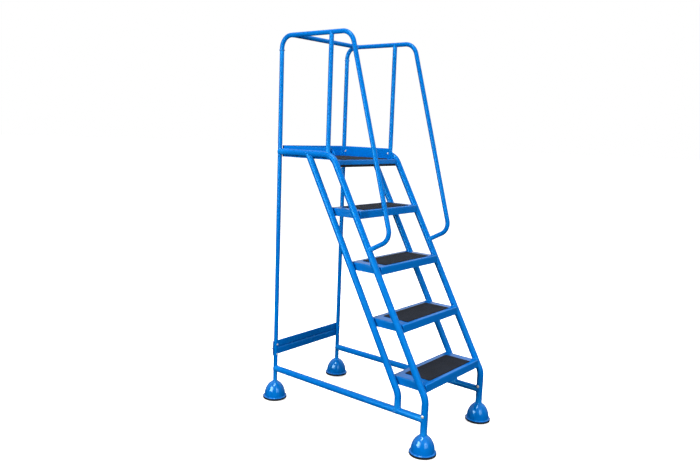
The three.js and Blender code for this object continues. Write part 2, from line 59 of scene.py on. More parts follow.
SIDE_X = 0.249
LEG_Y = 0.461
UPRIGHT_Y = 0.145
BASE_Z = 0.162
RAIL_Z = 1.285
TOP_Z = 1.842
SEAM_Z = 1.774
CROSS_RAIL_Y = 0.388
KNEE_Z = 0.254
REAR_KNEE_Z = 0.240
STRINGER_RUN = 0.5601
STRINGER_SPACING = 0.152
GRIP_CORNER = (-0.236, 0.929)
GRIP_END = (-0.118, 0.866)
GRIP_RUN = 0.2878
STOUT_R = 0.0159
SLIM_R = 0.0111
TUBE_WALL = 0.0015
STRINGER_BENDS = (0.080, 0.080)
HANDRAIL_BENDS = (0.060, 0.070, 0.060)
GAP = 0.0003
SHEET = 0.002
FOLD_R = 0.0035
DOME_TOP_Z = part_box("foot_dome_front_left")[1].z
DOME_BASE_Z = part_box("foot_dome_front_left")[0].z
DOME_RIM_R = 0.060
DOME_WALL_R = 0.0538
DOME_CROWN = 0.0032
DOME_FLAT_R = 0.0174
INNER_HALF = SIDE_X - STOUT_R - GAP
TOE_TOP_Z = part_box("toe_board")[1].z
TOE_FRONT_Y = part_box("toe_board")[0].y
TOE_REAR_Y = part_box("toe_board")[1].y
TOE_NOSE_R = 0.044
TOE_CORNER_R = 0.014
CORNERS = [(f"{end}_{side}", sx, ey) for end, ey in (("front", -1), ("rear", 1))
           for side, sx in (("left", -1), ("right", 1))]
SIDES = (("left", -1), ("right", 1))

WELD_R = 0.0018
WELD_PITCH = 0.0042
SHEET_WELD_R = 0.0016
FOOT_WELD_R = 0.0020
SEAM_RING_R = 0.0026
SEAM_RING_LIFT = 0.0002
WELD_BITE = 0.0003

SHEET_CORNER_R = 0.0012
MAT_CORNER_R = 0.003
MAT_EDGE_R = 0.0012
MAT_GRIT = 0.00022
MAT_PLAIN_CELLS = 5

TREAD_WELD_REACH = 0.0055
BEARER_CORNER_R = 0.003
BEARER_HOLLOW = (0.84, 0.867)
BRACE_RIB = 0.006
BRACE_LIP = 0.006
BRACE_FOLD_R = 0.0028

DOME_WALL = 0.0018
DOME_SKIN_LOW = 0.0055
DOME_RIM = 0.0036
DOME_RIM_ROUND = 0.0018
DOME_ROOT = 0.0022
DOME_ROOT_TOP = 0.0062
DOME_BORE_R = 0.0053
DOME_BOSS_R = 0.0095
DOME_BOSS_DEPTH = 0.007
RUBBER_INSIDE_R = 0.051
RUBBER_OUTSIDE_R = DOME_RIM_R + 0.0016
RUBBER_ROUND = 0.0016
RUBBER_GROOVE_Z = 0.0039
RUBBER_GROOVE = 0.0005

SPRING_WIRE_R = 0.0013
SPRING_COIL_R = 0.009
SPRING_TURNS = 4.5
SPRING_CLOSED = 0.055
STEM_R = 0.005
STEM_FLANGE_R = 0.012
STEM_FLANGE = 0.003
STEM_COLLAR_R = 0.008
STEM_COLLAR = 0.004
RIVET_R = 0.004
RIVET_HEAD_R = 0.006
RIVET_GRIP = 0.0033
WHEEL_BORE_R = 0.0033
WHEEL_HUB_R = 0.0070
WHEEL_RIM_R = 0.0145
WHEEL_DISH = 0.0018
TYRE_SHOULDER = (0.0022, 0.0030)
TYRE_CROWN = 0.0008
AXLE_R = 0.003
AXLE_HEAD_R = 0.0050
AXLE_HEAD = 0.0015

BOLT_R = 0.004
BOLT_TIP_R = 0.0036
BOLT_TIP = 0.0006
BOLT_TAIL = 0.0064
BUTTON_R = 0.0069
BUTTON_SKIRT_R = 0.0071
BUTTON_RISE = 0.0036
BUTTON_SKIRT = 0.0007
BUTTON_SKIRT_EDGE = 0.0004
BUTTON_TOP = 0.0044
NUT_BORE_R = 0.0042
NUT_FACE_R = 0.0066
NUT_R = 0.0070
NUT_CHAMFER = 0.0007
NUT_SHOULDER = 0.0038
NUT_H = 0.0045
SMALL_BOLT = 0.75
TOE_BOLT_Y = (("front", 0.148), ("rear", 0.435))
TOE_BOLT_Z = 1.2895
TOE_BOLT_DEPTH = 0.004


# ---- materials ------------------------------------------------------------------------------

class Nodes:
    """A short hand for one material's node tree."""

    def __init__(self, name, colour, roughness, metallic=0.0, specular=0.5):
        self.material = bpy.data.materials.new(name)
        self.material.use_nodes = True
        self.tree = self.material.node_tree
        self.shader = self.tree.nodes["Principled BSDF"]
        self.shader.inputs["Base Color"].default_value = (*colour, 1)
        self.shader.inputs["Roughness"].default_value = roughness
        self.shader.inputs["Metallic"].default_value = metallic
        self.shader.inputs["Specular IOR Level"].default_value = specular
        self.where = self.tree.nodes.new("ShaderNodeTexCoord").outputs["Object"]

    def link(self, out, into):
        self.tree.links.new(out, into)

    def noise(self, scale, detail=3.0, rough=0.5):
        node = self.tree.nodes.new("ShaderNodeTexNoise")
        node.inputs["Scale"].default_value = scale
        node.inputs["Detail"].default_value = detail
        node.inputs["Roughness"].default_value = rough
        self.link(self.where, node.inputs["Vector"])
        return node.outputs["Fac"]

    def cells(self, scale):
        node = self.tree.nodes.new("ShaderNodeTexVoronoi")
        node.feature = "F1"
        node.inputs["Scale"].default_value = scale
        self.link(self.where, node.inputs["Vector"])
        return node.outputs["Distance"]

    def ramp(self, value, stops):
        node = self.tree.nodes.new("ShaderNodeValToRGB")
        elements = node.color_ramp.elements
        while len(elements) < len(stops):
            elements.new(0.5)
        for element, (place, colour) in zip(elements, stops):
            element.position = place
            element.color = (*colour, 1) if len(colour) == 3 else colour
        self.link(value, node.inputs["Fac"])
        return node.outputs["Color"]

    def between(self, value, low, high, start=0.0, end=1.0):
        node = self.tree.nodes.new("ShaderNodeMapRange")
        for key, number in (("From Min", start), ("From Max", end), ("To Min", low), ("To Max", high)):
            node.inputs[key].default_value = number
        self.link(value, node.inputs["Value"])
        return node.outputs["Result"]

    def mix(self, factor, a, b, blend="MIX"):
        node = self.tree.nodes.new("ShaderNodeMix")
        node.data_type = "RGBA"
        node.blend_type = blend
        for key, item in (("Factor", factor), ("A", a), ("B", b)):
            socket = next(s for s in node.inputs if s.name == key and s.enabled)
            if isinstance(item, bpy.types.NodeSocket):
                self.link(item, socket)
            elif isinstance(item, tuple):
                socket.default_value = (*item, 1)
            else:
                socket.default_value = item
        return next(s for s in node.outputs if s.enabled)

    def bump(self, *layers):
        """Each layer is (height socket, distance in metres, strength)."""
        normal = None
        for height, distance, strength in layers:
            node = self.tree.nodes.new("ShaderNodeBump")
            node.inputs["Distance"].default_value = distance
            node.inputs["Strength"].default_value = strength
            self.link(height, node.inputs["Height"])
            if normal is not None:
                self.link(normal, node.inputs["Normal"])
            normal = node.outputs["Normal"]
        self.link(normal, self.shader.inputs["Normal"])

    def edge_wear(self, low=0.52, high=0.60):
        """1 along convex edges, 0 elsewhere."""
        pointiness = self.tree.nodes.new("ShaderNodeNewGeometry").outputs["Pointiness"]
        return self.between(pointiness, 0.0, 1.0, low, high)

    def shade(self, distance):
        """1 in the open, lower in tight corners."""
        node = self.tree.nodes.new("ShaderNodeAmbientOcclusion")
        node.inputs["Distance"].default_value = distance
        node.samples = 8
        return node.outputs["AO"]


def blue_coat(name, roughness, specular, red_gloss):
    """The blue powder coat: orange peel, faint patches, lighter worn edges, and painted shade that darkens
    its colour in tight corners.
    """
    paint = Nodes(name, (0.0, 0.112, 0.44), roughness, specular=specular)
    paint.shader.inputs["Specular Tint"].default_value = (red_gloss, 0.92, 1.0, 1)
    patches = paint.noise(5.0, 3, 0.55)
    fine = paint.noise(60.0, 4, 0.6)
    base = paint.ramp(patches, [(0.3, (0.0, 0.110, 0.44)), (0.7, (0.0, 0.121, 0.465))])
    base = paint.mix(paint.between(fine, 0.0, 0.30, 0.35, 0.75), base, (0.0, 0.125, 0.475))
    worn = paint.mix(paint.edge_wear(), base, (0.004, 0.17, 0.56))
    # painted shade: ambient occlusion darkens the paint's colour in tight corners and creases
    corners = paint.ramp(paint.shade(0.012), [(0.0, (0.35, 0.35, 0.42)), (0.5, (1, 1, 1))])
    paint.link(paint.mix(1.0, worn, corners, "MULTIPLY"), paint.shader.inputs["Base Color"])
    gloss = paint.between(fine, 0.9 * roughness, 1.12 * roughness, 0.3, 0.7)
    paint.link(gloss, paint.shader.inputs["Roughness"])
    peel = paint.noise(900.0, 2, 0.5)
    paint.bump((peel, 0.0001, 0.12), (fine, 0.0003, 0.03))
    return paint.material


def blue_paint():
    """The coat on tubes, toe board and brace."""
    return blue_coat("blue_paint", 0.26, 0.18, 0.2)


def sheet_paint():
    """The same coat on the smoother sheet of treads and deck."""
    return blue_coat("sheet_paint", 0.20, 0.42, 0.35)


def dome_paint():
    """The same coat on the smooth pressed domes, where it lies glossier."""
    return blue_coat("dome_paint", 0.06, 0.55, 0.55)


def black_paint():
    """Near-black paint on the bar under the platform's front; its black is painted shade for the shadow under
    the lip.
    """
    paint = Nodes("black_paint", (0.003, 0.004, 0.007), 0.5, specular=0.2)
    dust = paint.noise(38.0, 4, 0.65)
    base = paint.ramp(dust, [(0.35, (0.002, 0.003, 0.006)), (0.75, (0.005, 0.006, 0.010))])
    worn = paint.mix(paint.edge_wear(0.54, 0.66), base, (0.015, 0.017, 0.022))
    paint.link(worn, paint.shader.inputs["Base Color"])
    paint.link(paint.between(dust, 0.42, 0.6, 0.3, 0.7), paint.shader.inputs["Roughness"])
    paint.bump((paint.noise(700.0, 2), 0.0001, 0.3))
    return paint.material


def slate_mat():
    """Gritty anti-slip rubber."""
    mat = Nodes("slate_mat", (0.005, 0.008, 0.013), 0.9, specular=0.2)
    grit = mat.cells(900.0)
    cloud = mat.noise(14.0, 3, 0.6)
    speckle = mat.noise(1400.0, 2, 0.6)
    base = mat.ramp(cloud, [(0.3, (0.003, 0.005, 0.010)), (0.7, (0.005, 0.008, 0.016))])
    light = mat.ramp(speckle, [(0.55, (0.0, 0.0, 0.0)), (0.72, (0.007, 0.009, 0.015))])
    mat.link(mat.mix(1.0, base, light, "ADD"), mat.shader.inputs["Base Color"])
    mat.link(mat.between(speckle, 0.75, 0.97, 0.3, 0.7), mat.shader.inputs["Roughness"])
    mat.bump((grit, 0.0005, 0.6), (mat.noise(2200.0, 2), 0.0003, 0.4))
    return mat.material


def black_rubber():
    rubber = Nodes("black_rubber", (0.006, 0.006, 0.007), 0.8, specular=0.15)
    scuff = rubber.noise(45.0, 4, 0.65)
    base = rubber.ramp(scuff, [(0.35, (0.004, 0.004, 0.005)), (0.75, (0.012, 0.012, 0.014))])
    dusty = rubber.mix(rubber.edge_wear(0.54, 0.66), base, (0.03, 0.03, 0.032))
    rubber.link(dusty, rubber.shader.inputs["Base Color"])
    rubber.link(rubber.between(scuff, 0.65, 0.9, 0.3, 0.7), rubber.shader.inputs["Roughness"])
    rubber.bump((rubber.noise(900.0, 2), 0.0002, 0.5), (scuff, 0.0004, 0.25))
    return rubber.material


def zinc():
    """Zinc plate on bolts, forks, stems and axles."""
    plate = Nodes("zinc", (0.50, 0.50, 0.49), 0.4, metallic=0.4)
    spangle = plate.cells(160.0)
    haze = plate.noise(220.0, 4, 0.6)
    base = plate.ramp(spangle, [(0.0, (0.44, 0.45, 0.46)), (0.8, (0.57, 0.57, 0.56))])
    tint = plate.mix(plate.between(haze, 0.0, 0.4, 0.4, 0.8), base, (0.54, 0.53, 0.48))
    plate.link(tint, plate.shader.inputs["Base Color"])
    plate.link(plate.between(haze, 0.28, 0.5, 0.3, 0.7), plate.shader.inputs["Roughness"])
    plate.bump((haze, 0.0001, 0.3))
    return plate.material


def spring_steel():
    steel = Nodes("spring_steel", (0.32, 0.33, 0.35), 0.35, metallic=1.0)
    drawn = steel.noise(380.0, 3, 0.6)
    base = steel.ramp(drawn, [(0.3, (0.20, 0.21, 0.23)), (0.7, (0.42, 0.43, 0.45))])
    steel.link(base, steel.shader.inputs["Base Color"])
    steel.link(steel.between(drawn, 0.28, 0.5, 0.3, 0.7), steel.shader.inputs["Roughness"])
    steel.bump((drawn, 0.0001, 0.25))
    return steel.material


def wheel_nylon():
    nylon = Nodes("wheel_nylon", (0.03, 0.03, 0.033), 0.5, specular=0.45)
    grain = nylon.noise(700.0, 3, 0.6)
    scuff = nylon.noise(60.0, 4, 0.65)
    base = nylon.ramp(scuff, [(0.35, (0.018, 0.018, 0.021)), (0.75, (0.05, 0.05, 0.053))])
    nylon.link(base, nylon.shader.inputs["Base Color"])
    nylon.link(nylon.between(grain, 0.4, 0.62, 0.3, 0.7), nylon.shader.inputs["Roughness"])
    nylon.bump((grain, 0.0002, 0.4))
    return nylon.material


MATERIALS = {make.__name__: make() for make in
             (blue_paint, sheet_paint, dome_paint, black_paint, slate_mat, black_rubber, zinc, spring_steel,
              wheel_nylon)}


# ---- mesh helpers ---------------------------------------------------------------------------

def piece(name, points, faces, finish, body="frame", replaced=(), sharp=35.0):
    """A new mesh piece that rides on a body; slot is the record's name for its finish."""
    mesh = bpy.data.meshes.new(name)
    mesh.from_pydata([tuple(p) for p in points], [], faces)
    work = bmesh.new()
    work.from_mesh(mesh)
    bmesh.ops.remove_doubles(work, verts=work.verts, dist=1e-7)
    bmesh.ops.recalc_face_normals(work, faces=work.faces)
    work.to_mesh(mesh)
    work.free()
    mesh.polygons.foreach_set("use_smooth", [True] * len(mesh.polygons))
    mesh.set_sharp_from_angle(angle=math.radians(sharp))
    mesh.materials.append(MATERIALS[finish])
    made = bpy.data.objects.new(name, mesh)
    bpy.context.scene.collection.objects.link(made)
    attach(made, body)
    if replaced:
        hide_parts(*replaced)
    return made


def ring_faces(rings, around, closed_ends=False, loop=False):
    """Quads between successive rings of the same number of points."""
    faces = []
    for i in range(rings if loop else rings - 1):
        a, b = i * around, (i + 1) % rings * around
        for k in range(around):
            n = (k + 1) % around
            faces.append((a + k, a + n, b + n, b + k))
    if closed_ends:
        faces.append(tuple(range(around)))
        faces.append(tuple(range((rings - 1) * around, rings * around)))
    return faces


def bent(corners, radii=(), step=3.0):
    """Stations (point, tangent) of straights joined by round bends."""
    corners = [Vector(c) for c in corners]
    ahead = (corners[1] - corners[0]).normalized()
    line = [(corners[0], ahead)]
    for before, corner, after, radius in zip(corners, corners[1:], corners[2:], radii):
        ahead, onward = (corner - before).normalized(), (after - corner).normalized()
        angle = ahead.angle(onward)
        inward = (onward - ahead * ahead.dot(onward)).normalized()
        start = corner - ahead * radius * math.tan(angle / 2)
        count = max(2, math.ceil(math.degrees(angle) / step))
        for k in range(count + 1):
            c, s = math.cos(angle * k / count), math.sin(angle * k / count)
            line.append((start + ahead * radius * s + inward * radius * (1 - c), ahead * c + inward * s))
    line.append((corners[-1], (corners[-1] - corners[-2]).normalized()))
    return line


def reach(origin, direction, neighbour, radius, back=0.05, ahead=0.03):
    """How far along direction, from origin, a tube of that radius round a neighbour's line is met."""
    travel = np.arange(-back, ahead, 0.0001)
    spots = np.array(origin)[None, :] + travel[:, None] * np.array(direction)[None, :]
    line = np.array([tuple(p) for p, _ in neighbour])
    a, d = line[:-1], line[1:] - line[:-1]
    t = np.einsum("psk,sk->ps", spots[:, None, :] - a[None], d) / np.maximum((d * d).sum(1), 1e-12)
    nearest = a[None] + np.clip(t, 0, 1)[..., None] * d[None]
    gap = np.linalg.norm(spots[:, None, :] - nearest, axis=2).min(1)
    inside = np.nonzero(gap < radius)[0]
    return float(travel[inside[0]]) if len(inside) else None


def tube_rings(line, radius, side, around):
    rings = []
    for point, tangent in line:
        out = Vector(side).cross(tangent).normalized()
        rings.append([point + radius * (math.cos(a) * Vector(side) + math.sin(a) * out)
                      for a in np.linspace(0, 2 * math.pi, around, endpoint=False)])
    return rings


def coped(line, rings, end, neighbour, bite):
    """Moves one end ring along the tube until it meets the neighbour's skin."""
    if neighbour is None:
        return
    other, radius = neighbour
    direction = line[end][1] * (1 if end else -1)
    for k, spot in enumerate(rings[end]):
        found = reach(spot, direction, other, radius - bite)
        rings[end][k] = spot + direction * min(found if found is not None else 0.0, 0.03)


def tube(name, line, radius, start=None, end=None, side=(1, 0, 0), replaced=(), around=36):
    """A hollow tube whose ends are coped to their neighbours, which are (line, radius) pairs."""
    outer = tube_rings(line, radius, side, around)
    inner = tube_rings(line, radius - TUBE_WALL, side, around)
    for rings in (outer, inner):
        coped(line, rings, 0, start, WELD_BITE)
        coped(line, rings, -1, end, WELD_BITE)
    points = [p for ring in outer + inner[::-1] for p in ring]
    made = piece(name, points, ring_faces(2 * len(line), around, loop=True), "blue_paint", replaced=replaced)
    return made, outer


def bead(name, loop, size=WELD_R, lift=0.0, closed=True, centre=None):
    """A weld bead laid along a loop of points, with the ripple of its passes."""
    spots = [Vector(p) for p in loop]
    count, around = len(spots), 8
    middle = centre or sum(spots, Vector()) / count
    run, points = 0.0, []
    for i, spot in enumerate(spots):
        before = spots[i - 1] if closed or i else spot
        after = spots[(i + 1) % count] if closed or i + 1 < count else spot
        tangent = (after - before).normalized()
        out = spot - middle
        out = (out - tangent * out.dot(tangent)).normalized()
        across = tangent.cross(out)
        swell = size * (1 + 0.16 * math.sin(2 * math.pi * run / WELD_PITCH) + 0.08 * math.sin(7.0 * i + 1))
        for a in np.linspace(0, 2 * math.pi, around, endpoint=False):
            points.append(spot + out * lift + swell * (math.cos(a) * out + math.sin(a) * across))
        run += (after - spot).length
    return piece(name, points, ring_faces(count, around, not closed, closed), "dome_paint", sharp=80.0)


def denser(loop, spacing=0.0011, closed=True):
    """The same loop with points at an even, close spacing."""
    spots = np.array([tuple(p) for p in loop] + ([tuple(loop[0])] if closed else []))
    run = np.concatenate([[0], np.cumsum(np.linalg.norm(np.diff(spots, axis=0), axis=1))])
    count = max(8, int(run[-1] / spacing))
    places = np.linspace(0, run[-1], count, endpoint=not closed)
    return [Vector(tuple(np.interp(s, run, spots[:, k]) for k in range(3))) for s in places]


def revolved(name, profile, finish, centre, around=64, axis="Z", body="frame", replaced=(), sharp=35.0):
    """A solid of revolution from (radius, height) pairs round an axis through centre."""
    loop = profile[0][0] > 1e-6
    turn = {"Z": Matrix.Identity(3), "X": Matrix.Rotation(math.pi / 2, 3, "Y"),
            "Y": Matrix.Rotation(-math.pi / 2, 3, "X")}[axis]
    points = []
    for r, z in profile:
        for a in np.linspace(0, 2 * math.pi, around, endpoint=False):
            points.append(Vector(centre) + turn @ Vector((r * math.cos(a), r * math.sin(a), z)))
    faces = ring_faces(len(profile), around, not loop, loop)
    return piece(name, points, faces, finish, body, replaced, sharp)


def rounded(profile, radius, steps=4, loop=False):
    """A profile with each corner rounded by up to that radius."""
    spots = [Vector((*p, 0)) for p in profile]
    out = []
    for i, spot in enumerate(spots):
        if not loop and i in (0, len(spots) - 1):
            out.append((spot.x, spot.y))
            continue
        before, after = spots[i - 1], spots[(i + 1) % len(spots)]
        reach_in = min(radius, 0.45 * (spot - before).length, 0.45 * (after - spot).length)
        a = spot + (before - spot).normalized() * reach_in
        b = spot + (after - spot).normalized() * reach_in
        for k in range(steps + 1):
            t = k / steps
            p = a * (1 - t) ** 2 + spot * 2 * t * (1 - t) + b * t ** 2
            out.append((p.x, p.y))
    return out


def soften(made, width=0.0006, segments=2, angle=40.0):
    """Rounds a piece's hard edges."""
    modifier = made.modifiers.new("soften", "BEVEL")
    modifier.width = width
    modifier.segments = segments
    modifier.limit_method = "ANGLE"
    modifier.angle_limit = math.radians(angle)
    modifier.harden_normals = False
    return made


def prism(name, section, x0, x1, finish, steps=1, replaced=()):
    """A closed (y, z) section drawn along X."""
    count = len(section)
    points = [(x, y, z) for x in np.linspace(x0, x1, steps + 1) for y, z in section]
    return piece(name, points, ring_faces(steps + 1, count, True), finish, replaced=replaced)


# ---- side frames ----------------------------------------------------------------------------

def side_lines(x):
    """The centre lines of one side frame's tubes."""
    slope_y = lambda z: -LEG_Y + STRINGER_RUN * (z - KNEE_Z)
    top_y = GRIP_CORNER[0] + GRIP_RUN * (TOP_Z - GRIP_CORNER[1])
    foot_y = slope_y(REAR_KNEE_Z) + STRINGER_SPACING
    at = lambda y, z: (x, y, z)
    return {
        "front_stringer": bent([at(-LEG_Y, DOME_TOP_Z + GAP), at(-LEG_Y, KNEE_Z),
                                at(slope_y(RAIL_Z), RAIL_Z), at(LEG_Y, RAIL_Z)], STRINGER_BENDS),
        "rear_stringer": bent([at(foot_y, BASE_Z), at(foot_y, REAR_KNEE_Z),
                               at(slope_y(RAIL_Z) + STRINGER_SPACING, RAIL_Z)], STRINGER_BENDS),
        "base_rail": bent([at(-LEG_Y, BASE_Z), at(LEG_Y, BASE_Z)]),
        "rear_leg": bent([at(LEG_Y, DOME_TOP_Z + GAP), at(LEG_Y, SEAM_Z)]),
        "mid_upright": bent([at(UPRIGHT_Y, RAIL_Z), at(UPRIGHT_Y, TOP_Z)]),
        "handrail": bent([at(LEG_Y, SEAM_Z + GAP), at(LEG_Y, TOP_Z), at(top_y, TOP_Z),
                          at(*GRIP_CORNER), at(*GRIP_END)], HANDRAIL_BENDS),
    }


def straights(line, longest=0.06):
    """The line with its long straights divided, so that the mesh has even quads."""
    out = [line[0]]
    for (p, s), (q, t) in zip(line, line[1:]):
        count = max(1, math.ceil((q - p).length / longest))
        for k in range(1, count):
            out.append((p.lerp(q, k / count), s))
        out.append((q, t))
    return out


def ring_round(line, end, radius, side=(1, 0, 0), shift=0.0, around=48):
    point, tangent = line[end]
    out = Vector(side).cross(tangent).normalized()
    return [point + tangent * shift + radius * (math.cos(a) * Vector(side) + math.sin(a) * out)
            for a in np.linspace(0, 2 * math.pi, around, endpoint=False)]


def side_frame(side, sign):
    """One side frame's tubes with the welds between them."""
    lines = side_lines(sign * SIDE_X)
    skins = {key: (line, SLIM_R if key in ("rear_leg", "mid_upright", "handrail") else STOUT_R)
             for key, line in lines.items()}
    joints = {
        "front_stringer": (None, skins["rear_leg"]),
        "rear_stringer": (skins["base_rail"], skins["front_stringer"]),
        "base_rail": (skins["front_stringer"], skins["rear_leg"]),
        "rear_leg": (None, None),
        "mid_upright": (skins["front_stringer"], skins["handrail"]),
        "handrail": (None, skins["front_stringer"]),
    }
    for key, (start, end) in joints.items():
        line, radius = skins[key]
        node = f"{key}_{side}"
        _, rings = tube(f"{node}_tube", straights(line), radius, start, end, replaced=[node])
        for place, near in (("foot", start), ("head", end)):
            if near is not None:
                ring = rings[0 if place == "foot" else -1]
                bead(f"{node}_weld_{place}", denser(ring))
    bead(f"handrail_seam_{side}", denser(ring_round(lines["handrail"], 0, SLIM_R)), SEAM_RING_R,
         SEAM_RING_LIFT)
    for key, radius in (("front_stringer", STOUT_R), ("rear_leg", SLIM_R)):
        bead(f"{key}_foot_weld_{side}", denser(ring_round(lines[key], 0, radius, shift=0.0008)),
             FOOT_WELD_R)
    return skins


skins = {side: side_frame(side, sign) for side, sign in SIDES}

cross_line = bent([(-SIDE_X, CROSS_RAIL_Y, TOP_Z), (SIDE_X, CROSS_RAIL_Y, TOP_Z)])
_, cross_rings = tube("handrail_cross_rail_tube", straights(cross_line), SLIM_R, skins["left"]["handrail"],
                      skins["right"]["handrail"], side=(0, 1, 0), replaced=["handrail_cross_rail"])
bead("cross_rail_weld_left", denser(cross_rings[0]))
bead("cross_rail_weld_right", denser(cross_rings[-1]))


# ---- sheet work -----------------------------------------------------------------------------

def tray(name, node):
    """An inverted tray of sheet with rounded folds, open below."""
    lo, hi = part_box(node)
    middle, half = (lo + hi) / 2, (hi - lo) / 2
    fold, corner = FOLD_R, SHEET_CORNER_R
    levels = [(0.0, z) for z in np.linspace(lo.z, hi.z - fold, 4)]
    levels += [(fold * (1 - math.cos(a)), hi.z - fold * (1 - math.sin(a)))
               for a in np.linspace(0, math.pi / 2, 7)[1:]]
    points, per_corner = [], 5
    for inset, z in levels:
        for quarter, (sx, sy) in enumerate(((1, 1), (-1, 1), (-1, -1), (1, -1))):
            for turned in np.linspace(0, math.pi / 2, per_corner):
                a = quarter * math.pi / 2 + turned
                points.append((middle.x + sx * (half.x - inset - corner) + corner * math.cos(a),
                               middle.y + sy * (half.y - inset - corner) + corner * math.sin(a), z))
    around = 4 * per_corner
    faces = ring_faces(len(levels), around)
    faces.append(tuple(range((len(levels) - 1) * around, len(levels) * around)))
    made = piece(name, points, faces, "sheet_paint", replaced=[node])
    wall = made.data.polygons[0]
    outward = wall.normal.dot(wall.center - middle) > 0
    thick = made.modifiers.new("sheet", "SOLIDIFY")
    thick.thickness = SHEET
    thick.offset = -1 if outward else 1
    thick.use_even_offset = True
    return soften(made, 0.0004)


def seam(name, corners):
    """A fillet weld along an open line of corners."""
    spots = [Vector(c) for c in corners]
    centre = sum(spots, Vector()) / len(spots) + Vector((0, 0, -0.1))
    return bead(name, denser(spots, closed=False), SHEET_WELD_R, closed=False, centre=centre)


def grit(x, y, scale=1.0):
    """A repeatable roughness from -1 to 1."""
    return math.sin(x * 5311.7 + y * 9137.3) * math.cos(x * 7919.1 - y * 4021.9) * scale


def spread(half, corner, pitch=0.0035):
    """Grid places from -half to half, closer together in the corners."""
    edge = corner * (1 - np.cos(np.linspace(0, math.pi / 2, 6)))
    middle = np.linspace(-half + corner, half - corner, int(2 * half / pitch))
    return np.concatenate([-half + edge[:-1], middle, half - edge[:-1][::-1]])


def mat(name, node):
    """A moulded anti-slip mat: rounded edges and a gritty top."""
    lo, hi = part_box(node)
    half = (hi - lo) / 2
    middle = (lo + hi) / 2
    corner, round_r, plain = MAT_CORNER_R, MAT_EDGE_R, MAT_PLAIN_CELLS
    spread_x, spread_y = spread(half.x, corner), spread(half.y, corner)
    nx, ny = len(spread_x) - 1, len(spread_y) - 1
    points, faces = [], []
    for layer in ("low", "wall", "top"):
        for j in range(ny + 1):
            for i in range(nx + 1):
                x, y = spread_x[i], spread_y[j]
                inset = 0.0 if layer != "top" else round_r
                sx, sy = half.x - inset, half.y - inset
                x, y = x * sx / half.x, y * sy / half.y
                ax, ay = abs(x) - (sx - corner), abs(y) - (sy - corner)
                if ax > 0 and ay > 0:
                    far = max(ax, ay) / math.hypot(ax, ay)
                    x = math.copysign(sx - corner + ax * far, x)
                    y = math.copysign(sy - corner + ay * far, y)
                z = {"low": lo.z, "wall": hi.z - round_r, "top": hi.z}[layer]
                if layer == "top" and plain < i < nx - plain and plain < j < ny - plain:
                    z += grit(x, y, MAT_GRIT) - MAT_GRIT
                points.append((middle.x + x, middle.y + y, z))
    per = (nx + 1) * (ny + 1)
    at = lambda layer, i, j: layer * per + j * (nx + 1) + i
    rim = ([(i, 0) for i in range(nx)] + [(nx, j) for j in range(ny)]
           + [(i, ny) for i in range(nx, 0, -1)] + [(0, j) for j in range(ny, 0, -1)])
    for j in range(ny):
        for i in range(nx):
            faces.append((at(2, i, j), at(2, i + 1, j), at(2, i + 1, j + 1), at(2, i, j + 1)))
    for (i, j), (p, q) in zip(rim, rim[1:] + rim[:1]):
        faces.append((at(0, i, j), at(0, p, q), at(1, p, q), at(1, i, j)))
        faces.append((at(1, i, j), at(1, p, q), at(2, p, q), at(2, i, j)))
    faces.append(tuple(at(0, i, j) for i, j in rim[::-1]))
    used = sorted({k for f in faces for k in f})
    place = {k: n for n, k in enumerate(used)}
    return piece(name, [points[k] for k in used], [tuple(place[k] for k in f) for f in faces],
                 "slate_mat", replaced=[node], sharp=60.0)


def tread_welds(node):
    """The welds where a tread's ends lie against the two sloping stringers of each side."""
    lo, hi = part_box(node)
    for side, sign in SIDES:
        for place, behind in (("front", 0.0), ("rear", STRINGER_SPACING)):
            line_y = lambda z: -LEG_Y + STRINGER_RUN * (z - KNEE_Z) + behind
            x, reach_y = sign * INNER_HALF, TREAD_WELD_REACH
            seam(f"{node}_weld_{place}_{side}", [
                (x, line_y(lo.z) - reach_y, lo.z), (x, line_y(hi.z) - reach_y, hi.z),
                (x, line_y(hi.z) + reach_y, hi.z), (x, line_y(lo.z) + reach_y, lo.z)])


for number in range(1, 5):
    tray(f"tread_{number}_tray", f"tread_{number}")
    mat(f"tread_mat_{number}_pad", f"tread_mat_{number}")
    tread_welds(f"tread_{number}")


def deck():
    """The platform: sheet with a folded front lip, its rear corners rounded to fit the toe board."""
    lo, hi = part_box("platform_deck")
    front, top, low, corner = lo.y, hi.z, lo.z, TOE_CORNER_R - SHEET - GAP
    outer = [(front + FOLD_R * (1 - math.cos(a)), top - FOLD_R * (1 - math.sin(a)))
             for a in np.linspace(0, math.pi / 2, 7)]
    inner = [(front + FOLD_R - (FOLD_R - SHEET) * math.cos(a), top - FOLD_R + (FOLD_R - SHEET) * math.sin(a))
             for a in np.linspace(math.pi / 2, 0, 5)]
    turns = np.linspace(0, math.pi / 2, 9)
    stations = [(lo.x + corner * (1 - math.cos(a)), hi.y - corner * (1 - math.sin(a))) for a in turns]
    stations += [(-x, y) for x, y in stations[::-1]]
    points = []
    for x, rear in stations:
        section = [(front, low)] + outer + [(rear, top), (rear, top - SHEET)] + inner + [(front + SHEET, low)]
        points += [(x, y, z) for y, z in section]
    count = len(points) // len(stations)
    made = piece("platform_deck_sheet", points, ring_faces(len(stations), count, True), "sheet_paint",
                 replaced=["platform_deck"])
    return soften(made, 0.0004)


deck()
mat("platform_mat_pad", "platform_mat")


def bearer():
    """The hollow bar under the deck's front, finished black as painted shade for the shadow under the lip."""
    lo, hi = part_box("platform_bearer")
    outer = rounded([(lo.y, lo.z), (lo.y, hi.z), (hi.y, hi.z), (hi.y, lo.z)], BEARER_CORNER_R, 4, True)
    mid_y, mid_z = (lo.y + hi.y) / 2, (lo.z + hi.z) / 2
    deep, tall = BEARER_HOLLOW
    inner = [(mid_y + (y - mid_y) * deep, mid_z + (z - mid_z) * tall) for y, z in outer]
    points = [(x, y, z) for x in (lo.x, hi.x) for y, z in outer]
    points += [(x, y, z) for x in (hi.x, lo.x) for y, z in inner]
    return piece("platform_bearer_bar", points, ring_faces(4, len(outer), loop=True), "black_paint",
                 replaced=["platform_bearer"])


